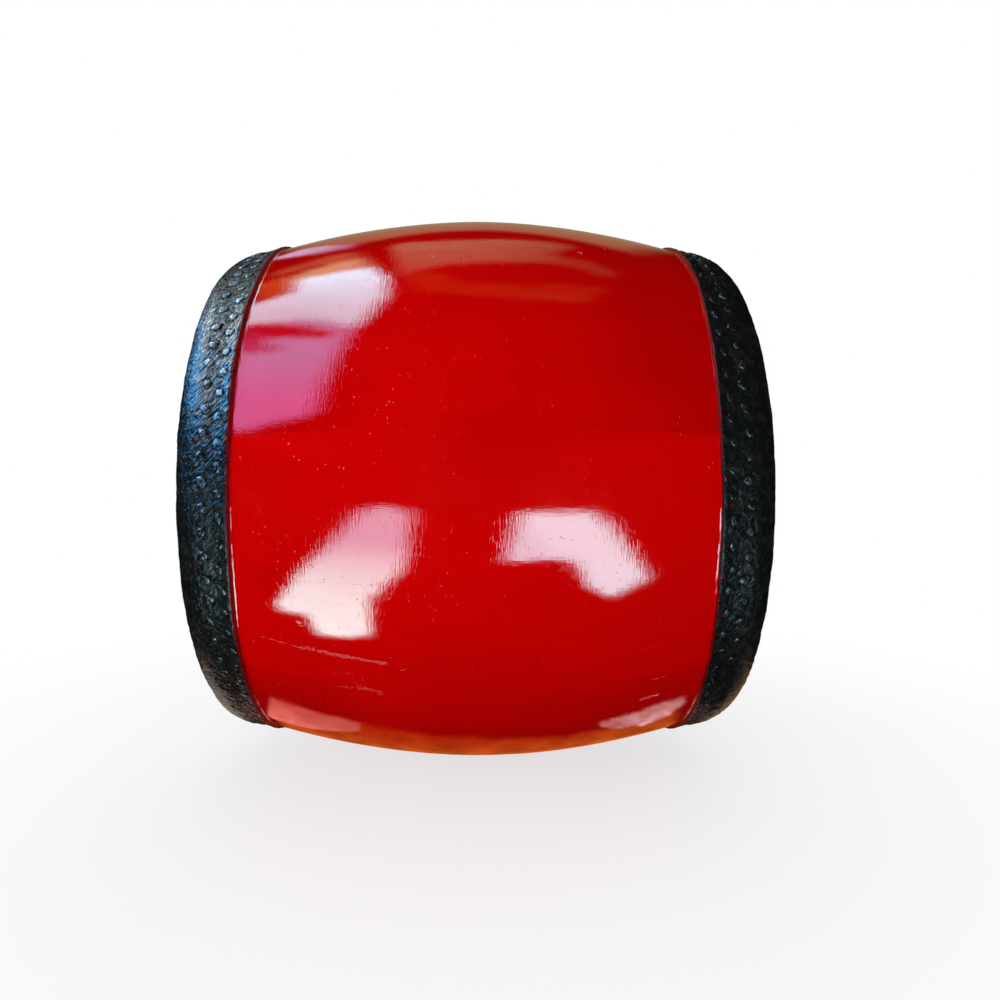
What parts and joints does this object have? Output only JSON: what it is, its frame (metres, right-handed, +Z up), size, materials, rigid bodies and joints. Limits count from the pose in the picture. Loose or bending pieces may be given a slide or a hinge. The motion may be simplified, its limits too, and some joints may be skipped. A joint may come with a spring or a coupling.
{
  "type": "barrel drum",
  "caption": "Squat two-headed barrel drum of red lacquered staves with black painted hide skirts held by staggered pegs.",
  "frame": {"origin": "on the floor under the middle of the barrel: the centre of the lowest stave's middle facet", "axes": "+X along the drum's axis towards the right head, +Z up, with the drum lying on its belly"},
  "size_m": [0.4344, 0.4998, 0.4999],
  "materials": {
    "red_lacquer": "high gloss lacquer over jackfruit wood",
    "black_painted_hide": "satin black paint over buffalo hide and peg heads",
    "bamboo": "split bamboo, unfinished"
  },
  "bodies": {
    "root": {"stave_01": "red_lacquer", "stave_02": "red_lacquer", "stave_03": "red_lacquer", "stave_04": "red_lacquer", "stave_05": "red_lacquer", "stave_06": "red_lacquer", "stave_07": "red_lacquer", "stave_08": "red_lacquer", "stave_09": "red_lacquer", "stave_10": "red_lacquer", "stave_11": "red_lacquer", "stave_12": "red_lacquer", "stave_13": "red_lacquer", "stave_14": "red_lacquer", "stave_15": "red_lacquer", "stave_16": "red_lacquer", "dowel_01_left": "bamboo", "dowel_01_right": "bamboo", "dowel_02_left": "bamboo", "dowel_02_right": "bamboo", "dowel_03_left": "bamboo", "dowel_03_right": "bamboo", "dowel_04_left": "bamboo", "dowel_04_right": "bamboo", "dowel_05_left": "bamboo", "dowel_05_right": "bamboo", "dowel_06_left": "bamboo", "dowel_06_right": "bamboo", "dowel_07_left": "bamboo", "dowel_07_right": "bamboo", "dowel_08_left": "bamboo", "dowel_08_right": "bamboo", "dowel_09_left": "bamboo", "dowel_09_right": "bamboo", "dowel_10_left": "bamboo", "dowel_10_right": "bamboo", "dowel_11_left": "bamboo", "dowel_11_right": "bamboo", "dowel_12_left": "bamboo", "dowel_12_right": "bamboo", "dowel_13_left": "bamboo", "dowel_13_right": "bamboo", "dowel_14_left": "bamboo", "dowel_14_right": "bamboo", "dowel_15_left": "bamboo", "dowel_15_right": "bamboo", "dowel_16_left": "bamboo", "dowel_16_right": "bamboo", "drumhead_left": "black_painted_hide", "drumhead_right": "black_painted_hide"}
  },
  "joints": []
}
